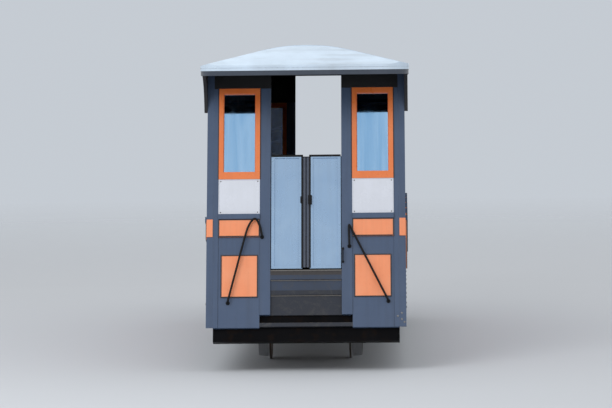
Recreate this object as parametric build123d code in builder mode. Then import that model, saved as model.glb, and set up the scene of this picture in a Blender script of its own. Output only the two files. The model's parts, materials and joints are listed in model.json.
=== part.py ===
"""One car of an inclined railway: a timber-framed body that leans back so that its posts stay plumb
while its two wheelsets run on rails climbing one in three. Millimetres, +Z square to the rails,
+Y up the hill, +X to the right for someone looking up the hill. The origin is on the floor under
the flanges, midway between the wheelsets."""

import math
import os

from build123d import *

os.makedirs("parts", exist_ok=True)

# Track and running gear
grade = 1 / 3
rail_pitch = 822
tread_radius = 200
flange_depth = 22
wheelbase = 3400
tread_width = 82
flange_width = 30
rim_thickness = 36
web_thickness = 52
hub_radius = 76
hub_length = 150
axle_radius = 40
journal_radius = 30
journal_shoulder = 12
journal_play = 3
tread_cone = 3
flange_chamfer = 12
bearing_gap = 0.3

# Car body, heights measured plumb from the foot of the wall
rail_clearance = 350
wall_length = 5600
bay_count = 5
bay_tread_count = 2
half_width = 840
side_thickness = 58
end_thickness = 40
post_width = 70
skirt_height = 258
sill_height = 1000
sill_drop = 13
ledge_height = 44
belt_height = 154
sash_head = 2104
lintel_gap = 46
cant_depth = 139

# End walls
door_half = 300
door_stile = 91
corner_stile = 41
door_head_drop = 57
lower_floor = 498
notice_height = 309
board_proud = 6
pocket_depth = 10
ledge_proud = 18
stile_foot = 111
notice_thickness = 6
panel_margin_in = 14
panel_margin_out = 23
panel_lift = 4
belt_return_gap = 6
threshold_height = 84
apron_split = 284
apron_step = 12
strip_foot = 10
strip_head = 43

# Windows
sash_bar = 50
end_sash_stile = 40
end_sash_head = 46
end_sash_foot = 64
sash_thickness = 42
glass_thickness = 6
mullion = 44

# Stepped floor
tread_thickness = 30
riser_thickness = 20
nosing = 25

# Wedge panels under the side windows
panel_margin = 16
panel_head = 632
panel_tip = 120

# Underframe
solebar_inner = 560
solebar_width = 70
solebar_height = 150
solebar_top = 602
solebar_wall = 14
cross_count = 5
cross_width = 90
cross_height = 110
headstock_thickness = 70
headstock_drop = 110
headstock_rise = 225
pedestal_thickness = 55
pedestal_cap = 15
pedestal_half_top = 190
pedestal_half_box = 75
pedestal_corner = 30

# Roof
eave_overhang = 40
roof_edge = 25
crown_radius = 1630
flank_slope = 0.245
roof_skin = 20
hood_overhang = 530
hood_rim = 60
nose_length = 480
nose_bulge = 24
nose_lift = 12
hood_corner = 180
fascia_height = 63
fascia_thickness = 18
fascia_inset = 3
rib_depth = 34
rib_width = 45
bracket_thickness = 28
bracket_drop = 389
bracket_reach = 300
bracket_heel = 34

# Seats
seat_depth = 380
seat_height = 400
seat_board = 25
seat_lip = 22
seat_gap = 10

# Gates
gate_foot_gap = 14
gate_top = 1509
gate_thickness = 24
gate_side_gap = 6
gate_middle_gap = 64
gate_bar = 26
gate_panel = 6
leaf_back = 2
hinge_heights = (140, 800)
hinge_pin = 6
hinge_knuckle = 11
knuckle_height = 36
knuckle_arm = 16
knuckle_arm_shift = 3
hinge_in = 14
hinge_back = 14
lug_thickness = 8
lug_reach = 54
lug_overlap = 8
lug_depth = 21

# Rope anchor
anchor_thickness = 50
anchor_eye = 25
anchor_boss = 46
anchor_reach = 100
anchor_grip = 160

# Entrance rails on the lower end. Columns: side, post height, bend outwards from the post,
# bend height, foot inwards from the corner stile, foot height
rail_rod = 9
rail_stand = 32
rail_eye = 17
rail_eye_thickness = 6
rail_eye_margin = 8
entrance_rods = (
    (-1, 786, 79, 955, 90, 215),
    (1, 700, -6, 892, 51, 222),
)

fit = 0.3

# Everything below follows from the sizes above
lean = math.atan(grade)
cos_lean = math.cos(lean)
sin_lean = math.sin(lean)
wall_half = wall_length / 2
bay_length = wall_length / bay_count
tread_run = bay_length / bay_tread_count
tread_rise = tread_run * grade
tread_count = bay_count * bay_tread_count
body_bottom = flange_depth + rail_clearance
axle_height = flange_depth + tread_radius
body_shift = -body_bottom * math.tan(lean)
inner_half = half_width - side_thickness
cant_foot = sash_head + lintel_gap
eave_height = cant_foot + cant_depth
door_head = eave_height - door_head_drop
eave_z = body_bottom + eave_height * cos_lean
ledge_top = sill_height - sill_drop
belt_foot = ledge_top - ledge_height - belt_height
lower_window_foot = ledge_top + notice_height
column_in = door_half + door_stile
column_out = inner_half - corner_stile
upper_floor = lower_floor - tread_rise
roof_half = half_width + eave_overhang
flank_angle = math.atan(flank_slope)
crown_drop = crown_radius * (1 / math.cos(flank_angle) - 1)
roof_rise = roof_edge + flank_slope * roof_half - crown_drop


def foot(u):
    """Plumb height of the body's lower edge at level distance u."""
    return body_bottom / cos_lean + u * grade


def to_frame(u, w):
    """Level distance and plumb height to the (Y, Z) of the track frame."""
    return (u * cos_lean + w * sin_lean + body_shift, -u * sin_lean + w * cos_lean)


def side_plane(x):
    """Plane across the car at x: local x runs level up the hill, local y is plumb."""
    return Plane(origin=(x, body_shift, 0), x_dir=(0, cos_lean, -sin_lean), z_dir=(1, 0, 0))


def end_plane(end, u, w=0):
    """Plumb plane square to the car at level distance u, facing out of the end, -1 lower or 1 upper."""
    y, z = to_frame(u, w)
    return Plane(origin=(0, y, z), x_dir=(-end, 0, 0), z_dir=(0, end * cos_lean, -end * sin_lean))


def slanted_board(u0, u1, low, high):
    """Side outline between two edges, each a height at u0 and a height at u1."""
    Polygon((u0, low[0]), (u1, low[1]), (u1, high[1]), (u0, high[0]), align=None)


def along(u0, u1, height):
    """Heights at u0 and u1 of a line parallel to the rails, measured from the body's lower edge."""
    return (foot(u0) + height, foot(u1) + height)


def upright_box(x0, x1, s0, s1, mode=Mode.ADD):
    """Rectangle by its corners on an end plane or a side plane."""
    Polygon((x0, s0), (x1, s0), (x1, s1), (x0, s1), align=None, mode=mode)


def finish(piece, name):
    piece.part.label = name
    export_step(piece.part, f"parts/{name}.step")


# Level distances of the post centres and of the tread edges
post_places = [-wall_half + bay_length * n for n in range(bay_count + 1)]
tread_places = [-wall_half + tread_run * n for n in range(tread_count + 1)]


def tread_level(n):
    return foot(-wall_half) + lower_floor + tread_rise * n


# Solebars: two rolled channels, backs outwards, cut plumb at the headstocks
solebar_end = wall_half - end_thickness - headstock_thickness
with BuildPart() as solebars:
    with BuildSketch(Plane.XZ.offset(-wall_length)):
        for hand in (-1, 1):
            with Locations((hand * (solebar_inner + solebar_width / 2), solebar_top - solebar_height / 2)):
                Rectangle(solebar_width, solebar_height)
            with Locations((hand * (solebar_inner + (solebar_width - solebar_wall) / 2),
                            solebar_top - solebar_height / 2)):
                Rectangle(solebar_width - solebar_wall, solebar_height - 2 * solebar_wall,
                          mode=Mode.SUBTRACT)
    extrude(amount=2 * wall_length)
    split(bisect_by=end_plane(-1, -solebar_end), keep=Keep.BOTTOM)
    split(bisect_by=end_plane(1, solebar_end), keep=Keep.BOTTOM)
finish(solebars, "solebars")

# Headstocks: deep planks across both ends, behind the end walls and showing below them
with BuildPart() as headstocks:
    for end in (-1, 1):
        base = foot(end * wall_half)
        with BuildSketch(end_plane(end, end * (wall_half - end_thickness))):
            upright_box(-inner_half, inner_half, base - headstock_drop, base + headstock_rise)
        extrude(amount=-headstock_thickness)
finish(headstocks, "headstocks")

# Cross members between the solebars, set over the wheels
cross_pitch = wheelbase * 2 / (cross_count + 1)
cross_top = solebar_top - solebar_wall
with BuildPart() as cross_members:
    with BuildSketch(Plane.YZ.offset(-solebar_inner)):
        with Locations(*[(cross_pitch * (n - (cross_count - 1) / 2), cross_top - cross_height / 2)
                         for n in range(cross_count)]):
            Rectangle(cross_width, cross_height)
    extrude(amount=2 * solebar_inner)
finish(cross_members, "cross_members")

# Axle pedestals: castings bolted under the solebars, each with a blind journal bore
pedestal_out = solebar_inner + pedestal_thickness
with BuildPart() as axle_pedestals:
    for place in (-wheelbase / 2, wheelbase / 2):
        for hand in (-1, 1):
            with BuildSketch(Plane.YZ.offset(hand * solebar_inner)):
                with BuildLine():
                    Polyline((place - pedestal_half_top, solebar_top - solebar_height),
                             (place + pedestal_half_top, solebar_top - solebar_height),
                             (place + pedestal_half_box, axle_height + pedestal_half_box),
                             (place + pedestal_half_box, axle_height - pedestal_half_box + pedestal_corner),
                             (place + pedestal_half_box - pedestal_corner, axle_height - pedestal_half_box),
                             (place - pedestal_half_box + pedestal_corner, axle_height - pedestal_half_box),
                             (place - pedestal_half_box, axle_height - pedestal_half_box + pedestal_corner),
                             (place - pedestal_half_box, axle_height + pedestal_half_box), close=True)
                make_face()
            extrude(amount=hand * pedestal_thickness)
            with BuildSketch(Plane.YZ.offset(hand * pedestal_out)):
                with Locations((place, axle_height)):
                    Rectangle(2 * journal_radius + pedestal_cap, 2 * journal_radius + pedestal_cap)
            extrude(amount=hand * pedestal_cap)
            with BuildSketch(Plane.YZ.offset(hand * solebar_inner)):
                with Locations((place, axle_height)):
                    Circle(journal_radius + bearing_gap)
            extrude(amount=hand * pedestal_thickness, mode=Mode.SUBTRACT)
finish(axle_pedestals, "axle_pedestals")

# Wheelsets: two disc wheels pressed on one axle, flanges inside the rails
wheel_out = rail_pitch / 2 + tread_width / 2
wheel_in = wheel_out - tread_width
flange_back = wheel_in - flange_width
flange_radius = tread_radius + flange_depth
rim_inner = tread_radius - rim_thickness
hub_middle = (wheel_in + wheel_out) / 2
hub_in = hub_middle - hub_length / 2
hub_out = hub_middle + hub_length / 2
web_out = flange_back + web_thickness
journal_start = solebar_inner - journal_shoulder
journal_end = solebar_inner + pedestal_thickness - journal_play
for place, name in ((-wheelbase / 2, "lower_wheelset"), (wheelbase / 2, "upper_wheelset")):
    with BuildPart() as wheelset:
        with BuildSketch(Plane(origin=(0, place, axle_height), x_dir=(1, 0, 0), z_dir=(0, -1, 0))):
            with BuildLine():
                Polyline((0, 0), (0, axle_radius), (hub_in, axle_radius), (hub_in, hub_radius),
                         (flange_back, hub_radius), (flange_back, flange_radius),
                         (wheel_in - flange_chamfer, flange_radius),
                         (wheel_in, tread_radius + tread_cone), (wheel_out, tread_radius - tread_cone),
                         (wheel_out, rim_inner), (web_out, rim_inner), (web_out, hub_radius),
                         (hub_out, hub_radius), (hub_out, axle_radius), (journal_start, axle_radius),
                         (journal_start, journal_radius), (journal_end, journal_radius),
                         (journal_end, 0), close=True)
            make_face()
            mirror(about=Plane.YZ)
        revolve(axis=Axis((0, place, axle_height), (1, 0, 0)))
    finish(wheelset, name)

# Rope anchor: a tongue under the upper headstock with a cross-drilled eye
anchor_top = foot(wall_half) - headstock_drop
anchor_u = wall_half + anchor_reach
anchor_w = anchor_top - anchor_boss
with BuildPart() as rope_anchor:
    with BuildSketch(side_plane(-anchor_thickness / 2)):
        upright_box(solebar_end - anchor_grip, wall_half - end_thickness,
                    anchor_top - 2 * anchor_boss, anchor_top)
        upright_box(wall_half - end_thickness, anchor_u, anchor_w - anchor_boss, anchor_w + anchor_boss)
        with Locations((anchor_u, anchor_w)):
            Circle(anchor_boss)
            Circle(anchor_eye, mode=Mode.SUBTRACT)
    extrude(amount=anchor_thickness)
finish(rope_anchor, "rope_anchor")

# Step bearers: wedges on the solebars that turn the slope into level seats for the treads
with BuildPart() as step_bearers:
    for hand in (-1, 1):
        with BuildSketch(side_plane(hand * solebar_inner)):
            for n in range(tread_count):
                u0 = max(tread_places[n] + riser_thickness + nosing, -solebar_end)
                u1 = min(tread_places[n + 1] + riser_thickness, solebar_end)
                low = ((solebar_top / cos_lean + u0 * grade), (solebar_top / cos_lean + u1 * grade))
                under = tread_level(n) - tread_thickness
                slanted_board(u0, u1, low, (under, under))
        extrude(amount=hand * solebar_width)
finish(step_bearers, "step_bearers")

# Floor treads: one plank a step, with a nosing over the riser below
with BuildPart() as floor_treads:
    with BuildSketch(side_plane(-inner_half)):
        for n in range(tread_count):
            u0 = max(tread_places[n] - nosing, -wall_half + end_thickness)
            u1 = min(tread_places[n + 1] + riser_thickness, wall_half - end_thickness)
            upright_box(u0, u1, tread_level(n) - tread_thickness, tread_level(n))
    extrude(amount=2 * inner_half)
finish(floor_treads, "floor_treads")

# Floor risers: upright boards between one tread and the next
with BuildPart() as floor_risers:
    with BuildSketch(side_plane(-inner_half)):
        for n in range(1, tread_count):
            upright_box(tread_places[n], tread_places[n] + riser_thickness,
                        tread_level(n - 1), tread_level(n) - tread_thickness)
    extrude(amount=2 * inner_half)
finish(floor_risers, "floor_risers")

# Side skirts: deep sills running with the rails
with BuildPart() as side_skirts:
    for hand in (-1, 1):
        with BuildSketch(side_plane(hand * inner_half)):
            slanted_board(-wall_half, wall_half, along(-wall_half, wall_half, 0),
                          along(-wall_half, wall_half, skirt_height))
        extrude(amount=hand * side_thickness)
finish(side_skirts, "side_skirts")

# Side posts: plumb, one at each bay line, cut to the slope of skirt and cant rail
post_spans = []
for place in post_places:
    u0 = min(max(place - post_width / 2, -wall_half), wall_half - post_width)
    post_spans.append((u0, u0 + post_width))
with BuildPart() as side_posts:
    for hand in (-1, 1):
        with BuildSketch(side_plane(hand * inner_half)):
            for u0, u1 in post_spans:
                slanted_board(u0, u1, along(u0, u1, skirt_height), along(u0, u1, cant_foot))
        extrude(amount=hand * side_thickness)
finish(side_posts, "side_posts")

# Cant rails: wall plates under the roof, parallel to the rails
with BuildPart() as cant_rails:
    for hand in (-1, 1):
        with BuildSketch(side_plane(hand * inner_half)):
            slanted_board(-wall_half, wall_half, along(-wall_half, wall_half, cant_foot),
                          along(-wall_half, wall_half, eave_height))
        extrude(amount=hand * side_thickness)
finish(cant_rails, "cant_rails")

# Clear spans between the posts, with the foot height of each bay's level line
bays = [(post_spans[n][1], post_spans[n + 1][0], foot(-wall_half) + bay_length * grade * n)
        for n in range(bay_count)]

# Waist boards: one level-topped board a bay, pocketed for its two coloured boards
board_thickness = side_thickness - board_proud
with BuildPart() as waist_boards:
    for hand in (-1, 1):
        with BuildSketch(side_plane(hand * inner_half)):
            for u0, u1, base in bays:
                slanted_board(u0, u1, along(u0, u1, skirt_height), (base + sill_height, base + sill_height))
        extrude(amount=hand * board_thickness)
        with BuildSketch(side_plane(hand * (inner_half + board_thickness - pocket_depth))):
            for u0, u1, base in bays:
                upright_box(u0, u1, base + belt_foot, base + belt_foot + belt_height)
                slanted_board(u0 + panel_margin, u1 - panel_tip,
                              along(u0 + panel_margin, u1 - panel_tip, skirt_height + panel_margin),
                              (base + panel_head, base + panel_head))
        extrude(amount=hand * pocket_depth, mode=Mode.SUBTRACT)
        with BuildSketch(side_plane(hand * (inner_half + board_thickness))):
            for u0, u1, base in bays:
                upright_box(u0, u1, base + belt_foot + belt_height, base + ledge_top)
        extrude(amount=hand * (board_proud + ledge_proud))
finish(waist_boards, "waist_boards")

# Coloured boards let into the waist boards: a level belt and a wedge panel in each bay
with BuildPart() as side_colour_boards:
    for hand in (-1, 1):
        with BuildSketch(side_plane(hand * (inner_half + board_thickness - pocket_depth))):
            for u0, u1, base in bays:
                upright_box(u0, u1, base + belt_foot, base + belt_foot + belt_height)
        extrude(amount=hand * (pocket_depth + board_proud + ledge_proud / 2))
        with BuildSketch(side_plane(hand * (inner_half + board_thickness - pocket_depth))):
            for u0, u1, base in bays:
                slanted_board(u0 + panel_margin, u1 - panel_tip,
                              along(u0 + panel_margin, u1 - panel_tip, skirt_height + panel_margin),
                              (base + panel_head, base + panel_head))
        extrude(amount=hand * (pocket_depth + board_proud / 2))
finish(side_colour_boards, "side_colour_boards")

# Side sashes: a framed pair of panes between the posts of each bay
sash_in = inner_half + (side_thickness - sash_thickness) / 2
glass_in = sash_in + (sash_thickness - glass_thickness) / 2


def pane_spans(u0, u1):
    """The two clear panes of a side sash."""
    middle = (u0 + u1) / 2
    return ((u0 + sash_bar, middle - mullion / 2), (middle + mullion / 2, u1 - sash_bar))


with BuildPart() as side_sashes:
    for hand in (-1, 1):
        with BuildSketch(side_plane(hand * sash_in)):
            for u0, u1, base in bays:
                upright_box(u0, u1, base + sill_height, base + sash_head)
            for u0, u1, base in bays:
                for pane0, pane1 in pane_spans(u0, u1):
                    upright_box(pane0, pane1, base + sill_height + sash_bar, base + sash_head - sash_bar,
                                mode=Mode.SUBTRACT)
        extrude(amount=hand * sash_thickness)
finish(side_sashes, "side_sashes")

# Side glass: one pane in each light of the sashes
with BuildPart() as side_glass:
    for hand in (-1, 1):
        with BuildSketch(side_plane(hand * glass_in)):
            for u0, u1, base in bays:
                for pane0, pane1 in pane_spans(u0, u1):
                    upright_box(pane0, pane1, base + sill_height + sash_bar, base + sash_head - sash_bar)
        extrude(amount=hand * glass_thickness)
finish(side_glass, "side_glass")

# Side headers: the boards that close the wedge between each level sash and the cant rail
with BuildPart() as side_headers:
    for hand in (-1, 1):
        with BuildSketch(side_plane(hand * inner_half)):
            for u0, u1, base in bays:
                slanted_board(u0, u1, (base + sash_head, base + sash_head), along(u0, u1, cant_foot))
        extrude(amount=hand * board_thickness)
finish(side_headers, "side_headers")

# End walls. Columns: end, floor height, window foot, height of the coloured lower panel's top
ends = (
    (-1, lower_floor, lower_window_foot, panel_head),
    (1, upper_floor, ledge_top - tread_rise, panel_head - tread_rise),
)

# End stiles: corner and door posts, square to the floor level
with BuildPart() as end_stiles:
    for end, floor, window_foot, panel_top in ends:
        base = foot(end * wall_half)
        head = base + sash_head + floor - lower_floor
        with BuildSketch(end_plane(end, end * wall_half)):
            for hand in (-1, 1):
                upright_box(hand * column_out, hand * inner_half, base, head)
                upright_box(hand * door_half, hand * column_in, base + stile_foot, head)
        extrude(amount=-end_thickness)
finish(end_stiles, "end_stiles")

# End boards: each column's panel from its foot to the window, with pockets and a ledge
panel_in = column_in + panel_margin_in
panel_out = column_out - panel_margin_out
with BuildPart() as end_boards:
    for end, floor, window_foot, panel_top in ends:
        base = foot(end * wall_half)
        belt = base + belt_foot + floor - lower_floor
        with BuildSketch(end_plane(end, end * (wall_half - board_proud))):
            for hand in (-1, 1):
                upright_box(hand * column_in, hand * column_out, base, base + window_foot)
        extrude(amount=board_proud - end_thickness)
        with BuildSketch(end_plane(end, end * (wall_half - board_proud - pocket_depth))):
            for hand in (-1, 1):
                upright_box(hand * column_in, hand * column_out, belt, belt + belt_height)
                upright_box(hand * panel_in, hand * panel_out, base + skirt_height + panel_lift,
                            base + panel_top)
        extrude(amount=pocket_depth, mode=Mode.SUBTRACT)
        with BuildSketch(end_plane(end, end * (wall_half - board_proud))):
            for hand in (-1, 1):
                upright_box(hand * column_in, hand * column_out, belt + belt_height,
                            belt + belt_height + ledge_height)
        extrude(amount=board_proud + ledge_proud)
finish(end_boards, "end_boards")

# Coloured boards of the end walls, with the belt's short returns on the corner posts
with BuildPart() as end_colour_boards:
    for end, floor, window_foot, panel_top in ends:
        base = foot(end * wall_half)
        belt = base + belt_foot + floor - lower_floor
        with BuildSketch(end_plane(end, end * (wall_half - board_proud - pocket_depth))):
            for hand in (-1, 1):
                upright_box(hand * column_in, hand * column_out, belt, belt + belt_height)
        extrude(amount=pocket_depth + board_proud + board_proud)
        with BuildSketch(end_plane(end, end * (wall_half - board_proud - pocket_depth))):
            for hand in (-1, 1):
                upright_box(hand * panel_in, hand * panel_out, base + skirt_height + panel_lift,
                            base + panel_top)
        extrude(amount=pocket_depth + board_proud / 2)
        with BuildSketch(end_plane(end, end * wall_half)):
            for hand in (-1, 1):
                upright_box(hand * (inner_half + belt_return_gap), hand * half_width, belt,
                            belt + belt_height)
        extrude(amount=board_proud)
finish(end_colour_boards, "end_colour_boards")

# End sashes: single lights beside each doorway, standing a little proud of the stiles
with BuildPart() as end_sashes:
    for end, floor, window_foot, panel_top in ends:
        base = foot(end * wall_half)
        head = base + sash_head + floor - lower_floor
        with BuildSketch(end_plane(end, end * (wall_half + board_proud))):
            for hand in (-1, 1):
                upright_box(hand * column_in, hand * column_out, base + window_foot, head)
                upright_box(hand * (column_in + end_sash_stile), hand * (column_out - end_sash_stile),
                            base + window_foot + end_sash_foot, head - end_sash_head,
                            mode=Mode.SUBTRACT)
        extrude(amount=-sash_thickness)
finish(end_sashes, "end_sashes")

with BuildPart() as end_glass:
    for end, floor, window_foot, panel_top in ends:
        base = foot(end * wall_half)
        head = base + sash_head + floor - lower_floor
        with BuildSketch(end_plane(end, end * (wall_half + board_proud - sash_thickness / 2))):
            for hand in (-1, 1):
                upright_box(hand * (column_in + end_sash_stile), hand * (column_out - end_sash_stile),
                            base + window_foot + end_sash_foot, head - end_sash_head)
        extrude(amount=-glass_thickness)
finish(end_glass, "end_glass")

# Notice boards: blank enamelled plates under the lower end's windows
with BuildPart() as notice_boards:
    base = foot(-wall_half)
    with BuildSketch(end_plane(-1, -(wall_half - board_proud))):
        for hand in (-1, 1):
            upright_box(hand * column_in, hand * column_out, base + ledge_top, base + lower_window_foot)
    extrude(amount=notice_thickness)
finish(notice_boards, "notice_boards")

# Apron under the lower gates. Columns: foot height, top height, set back from the wall face
threshold_foot = lower_floor - threshold_height
apron = ((threshold_foot, lower_floor, 0), (apron_split, threshold_foot, apron_step),
         (stile_foot, apron_split, 2 * apron_step), (strip_foot, strip_head, board_proud))
with BuildPart() as door_aprons:
    base = foot(-wall_half)
    for low, high, back in apron:
        half = door_half if low >= stile_foot else column_in
        with BuildSketch(end_plane(-1, -(wall_half - back))):
            upright_box(-half, half, base + low, base + high)
        extrude(amount=back - end_thickness)
    top = foot(wall_half) + upper_floor
    with BuildSketch(end_plane(1, wall_half)):
        upright_box(-door_half, door_half, foot(wall_half) + stile_foot, top)
    extrude(amount=-end_thickness)
finish(door_aprons, "door_aprons")


def edge_rise(half, inset):
    """Height above the eaves of the vault's flank at half, for the outer face or one inset from it."""
    return roof_edge + flank_slope * (roof_half - half) - inset / math.cos(flank_angle)


def roof_section(half, inset, foot_z, mode=Mode.ADD):
    """Straight flanks tangent to a crown arc, closed down to foot_z. Drawn in X and Z."""
    edge_z = eave_z + edge_rise(half, inset)
    knee = (crown_radius - inset) * math.sin(flank_angle)
    knee_z = edge_z + flank_slope * (half - knee)
    with BuildLine() as outline:
        Polyline((-knee, knee_z), (-half, edge_z), (-half, foot_z), (half, foot_z),
                 (half, edge_z), (knee, knee_z))
        ThreePointArc((knee, knee_z), (0, eave_z + roof_rise - inset), (-knee, knee_z))
    make_face(outline.edges(), mode=mode)


def roof_block(half, inset, y0, y1, nose, corner):
    """Vault with bonnet ends: the section, the side outline and the plan, each cutting the others.
    The outline tops out nose_lift over the crown, so that each bonnet meets the crown at an angle."""
    edge_z = eave_z + edge_rise(half, inset)
    top_z = eave_z + roof_rise - inset + nose_lift
    drop = top_z - edge_z
    chord = math.hypot(nose, drop)
    middle_in = nose / 2 - nose_bulge * drop / chord
    middle_z = (edge_z + top_z) / 2 + nose_bulge * nose / chord
    with BuildPart() as block:
        with BuildSketch(Plane.XZ.offset(-y1)):
            roof_section(half, inset, eave_z)
        extrude(amount=y1 - y0)
        with BuildSketch(Plane.YZ.offset(-half)):
            with BuildLine():
                Polyline((y0, edge_z), (y0, eave_z), (y1, eave_z), (y1, edge_z))
                ThreePointArc((y1, edge_z), (y1 - middle_in, middle_z), (y1 - nose, top_z))
                Line((y1 - nose, top_z), (y0 + nose, top_z))
                ThreePointArc((y0 + nose, top_z), (y0 + middle_in, middle_z), (y0, edge_z))
            make_face()
        extrude(amount=2 * half, mode=Mode.INTERSECT)
        with BuildSketch(Plane.XY.offset(eave_z)):
            with Locations((0, (y0 + y1) / 2)):
                RectangleRounded(2 * half, y1 - y0, corner)
        extrude(amount=2 * roof_rise, mode=Mode.INTERSECT)
    return block.part


# Roof: one light shell with a flat rim on the cant rails and a bonnet over each end
hood_y0 = to_frame(-wall_half - hood_overhang, foot(-wall_half - hood_overhang) + eave_height)[0]
hood_y1 = to_frame(wall_half + hood_overhang, foot(wall_half + hood_overhang) + eave_height)[0]
with BuildPart() as roof_shell:
    add(roof_block(roof_half, 0, hood_y0, hood_y1, nose_length, hood_corner))
    add(roof_block(inner_half, roof_skin, hood_y0 + hood_rim, hood_y1 - hood_rim,
                   nose_length - hood_rim, hood_corner - hood_rim), mode=Mode.SUBTRACT)
finish(roof_shell, "roof_shell")

# Fascia: a thin dark board hung round the eaves and both hoods
hood_middle = (hood_y0 + hood_y1) / 2
hood_length = hood_y1 - hood_y0
with BuildPart() as roof_fascia:
    with BuildSketch(Plane.XY.offset(eave_z)):
        with Locations((0, hood_middle)):
            RectangleRounded(2 * (roof_half - fascia_inset), hood_length - 2 * fascia_inset,
                             hood_corner - fascia_inset)
            inner_inset = fascia_inset + fascia_thickness
            RectangleRounded(2 * (roof_half - inner_inset), hood_length - 2 * inner_inset,
                             hood_corner - inner_inset, mode=Mode.SUBTRACT)
    extrude(amount=-fascia_height)
finish(roof_fascia, "roof_fascia")

# Roof ribs: bent timbers under the vault, one over each pair of posts
with BuildPart() as roof_ribs:
    for place in post_places[1:-1]:
        y = to_frame(place, foot(place) + eave_height)[0]
        with BuildSketch(Plane.XZ.offset(-y - rib_width / 2)):
            roof_section(inner_half, roof_skin + fit, eave_z)
            roof_section(inner_half, roof_skin + rib_depth, eave_z - 2 * rib_depth, mode=Mode.SUBTRACT)
        extrude(amount=rib_width)
finish(roof_ribs, "roof_ribs")

# End headers: boards over windows and doorway, scribed to the vault
with BuildPart() as vault_space:
    with BuildSketch(Plane.XZ.offset(-hood_y1)):
        roof_section(inner_half, roof_skin + fit, body_bottom)
    extrude(amount=hood_length)
with BuildPart() as end_headers:
    for end, floor, window_foot, panel_top in ends:
        base = foot(end * wall_half)
        head = base + sash_head + floor - lower_floor
        arch = base + door_head
        crown = base + eave_height + 2 * roof_rise
        with BuildSketch(end_plane(end, end * wall_half)):
            Polygon((-inner_half, head), (-door_half, head), (-door_half, arch), (door_half, arch),
                    (door_half, head), (inner_half, head), (inner_half, crown), (-inner_half, crown),
                    align=None)
        extrude(amount=-end_thickness)
    add(vault_space.part, mode=Mode.INTERSECT)
finish(end_headers, "end_headers")

# Hood brackets: knees from the corner posts to the fascia of each hood
bracket_foot = eave_height - bracket_drop
with BuildPart() as hood_brackets:
    for hand in (-1, 1):
        for end in (-1, 1):
            heel = end * (wall_half - bracket_heel)
            front = end * wall_half
            tip = end * (wall_half + bracket_reach)
            under = eave_height - fascia_height / cos_lean
            low_w = foot(front) + bracket_foot
            tip_w = foot(tip) + under
            with BuildSketch(side_plane(hand * half_width)):
                with BuildLine():
                    Polyline((front, low_w), (heel, low_w), (heel, foot(heel) + under), (tip, tip_w))
                    ThreePointArc((tip, tip_w), ((front * 2 + tip) / 3, (low_w + 2 * tip_w) / 3),
                                  (front, low_w))
                make_face()
            extrude(amount=hand * bracket_thickness)
finish(hood_brackets, "hood_brackets")

# Seat boxes: one locker a tread along both sides, none on the end treads where the gates swing
seats = [(tread_places[n] - nosing + seat_gap / 2, tread_places[n + 1] - nosing - seat_gap / 2,
          tread_level(n)) for n in range(1, tread_count - 1)]
with BuildPart() as seat_boxes:
    for hand in (-1, 1):
        with BuildSketch(side_plane(hand * (inner_half - seat_depth))):
            for u0, u1, level in seats:
                upright_box(u0, u1, level, level + seat_height - seat_board)
        extrude(amount=hand * seat_depth)
finish(seat_boxes, "seat_boxes")

# Seat boards: a lipped plank on each locker
with BuildPart() as seat_boards:
    for hand in (-1, 1):
        with BuildSketch(side_plane(hand * (inner_half - seat_depth - seat_lip))):
            for u0, u1, level in seats:
                upright_box(u0, u1, level + seat_height - seat_board, level + seat_height)
        extrude(amount=hand * (seat_depth + seat_lip))
finish(seat_boards, "seat_boards")

# Gates: two leaves in each doorway on lift-off hinges at the inner face of the door posts
pivot_x = door_half - hinge_in
pivot_in = end_thickness + hinge_back
leaf_front = (end_thickness - gate_thickness) / 2 + leaf_back
knuckle_reach = pivot_in - leaf_front - gate_thickness
gate_height = gate_top - lower_floor - gate_foot_gap


def pin_plane(end, turn, w):
    """Plane square to a hinge pin at plumb height w; local y points into the car."""
    y, z = to_frame(end * (wall_half - pivot_in), w)
    return Plane(origin=(-end * turn * pivot_x, y, z), x_dir=(-end, 0, 0), z_dir=(0, sin_lean, cos_lean))


for end, floor, window_foot, panel_top in ends:
    end_name = "lower" if end < 0 else "upper"
    leaf_foot = foot(end * wall_half) + floor + gate_foot_gap
    for hand, hand_name in ((-1, "left"), (1, "right")):
        # Local x of an end plane runs to the right on the lower end and to the left on the upper
        turn = -end * hand
        leaf_out = turn * (door_half - gate_side_gap)
        leaf_in = turn * gate_middle_gap / 2
        with BuildPart() as leaf:
            with BuildSketch(end_plane(end, end * (wall_half - leaf_front))):
                upright_box(leaf_in, leaf_out, leaf_foot, leaf_foot + gate_height)
                upright_box(leaf_in + turn * gate_bar, leaf_out - turn * gate_bar,
                            leaf_foot + gate_bar, leaf_foot + gate_height - gate_bar, mode=Mode.SUBTRACT)
            extrude(amount=-gate_thickness)
            for height in hinge_heights:
                with BuildSketch(pin_plane(end, turn, leaf_foot + height)):
                    Circle(hinge_knuckle)
                    with Locations((-turn * knuckle_arm_shift, -knuckle_reach / 2)):
                        Rectangle(knuckle_arm, knuckle_reach)
                    Circle(hinge_pin + bearing_gap, mode=Mode.SUBTRACT)
                extrude(amount=knuckle_height)
        finish(leaf, f"{end_name}_{hand_name}_gate")
        with BuildPart() as leaf_panel:
            middle = leaf_front + (gate_thickness - gate_panel) / 2
            with BuildSketch(end_plane(end, end * (wall_half - middle))):
                upright_box(leaf_in + turn * gate_bar, leaf_out - turn * gate_bar,
                            leaf_foot + gate_bar, leaf_foot + gate_height - gate_bar)
            extrude(amount=-gate_panel)
        finish(leaf_panel, f"{end_name}_{hand_name}_gate_panel")

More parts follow.
